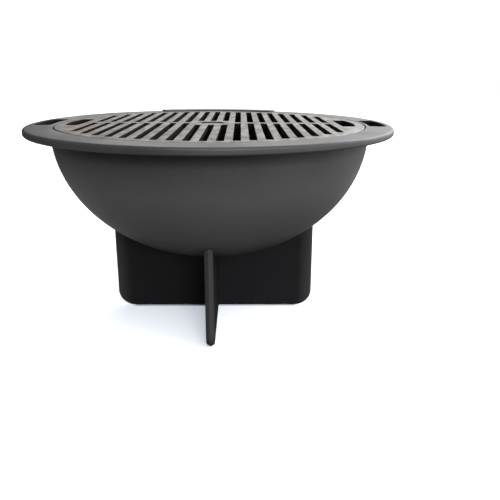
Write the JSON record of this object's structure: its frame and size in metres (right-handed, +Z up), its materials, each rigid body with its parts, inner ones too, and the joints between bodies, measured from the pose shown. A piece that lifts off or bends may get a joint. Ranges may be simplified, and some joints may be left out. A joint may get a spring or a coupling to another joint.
{
  "type": "fire pit with grate",
  "caption": "Round cast-iron fire bowl with a wide flat rim, hand holes and a flush lift-out slotted grate, standing on two crossed plates.",
  "frame": {"origin": "on the ground, under the centre of the bowl, where the two base plates cross", "axes": "+Z up; +Y towards the raised band at the back of the rim, along the grate's slots; the hand holes lie on X"},
  "size_m": [0.6, 0.6, 0.343],
  "materials": {
    "bowl_iron": "fine sand-cast surface under a matt black heat paint, slightly polished on the rim",
    "grate_iron": "bare grey cast iron, brushed by use, with faint rust",
    "base_iron": "sand-cast surface under a matt black heat paint"
  },
  "bodies": {
    "base_lower": {"lower_base_plate": "base_iron"},
    "base_upper": {"upper_base_plate": "base_iron"},
    "bowl": {"fire_bowl": "bowl_iron"},
    "grate": {"grate": "grate_iron"}
  },
  "joints": [
    {"name": "upper_plate_lift", "type": "slide", "parent": "base_lower", "child": "base_upper", "axis": [0, 0, 1], "range_m": [0, 0.2]},
    {"name": "bowl_lift", "type": "slide", "parent": "base_upper", "child": "bowl", "axis": [0, 0, 1], "range_m": [0, 0.1]},
    {"name": "grate_lift", "type": "slide", "parent": "bowl", "child": "grate", "axis": [0, 0, 1], "range_m": [0, 0.12]}
  ]
}
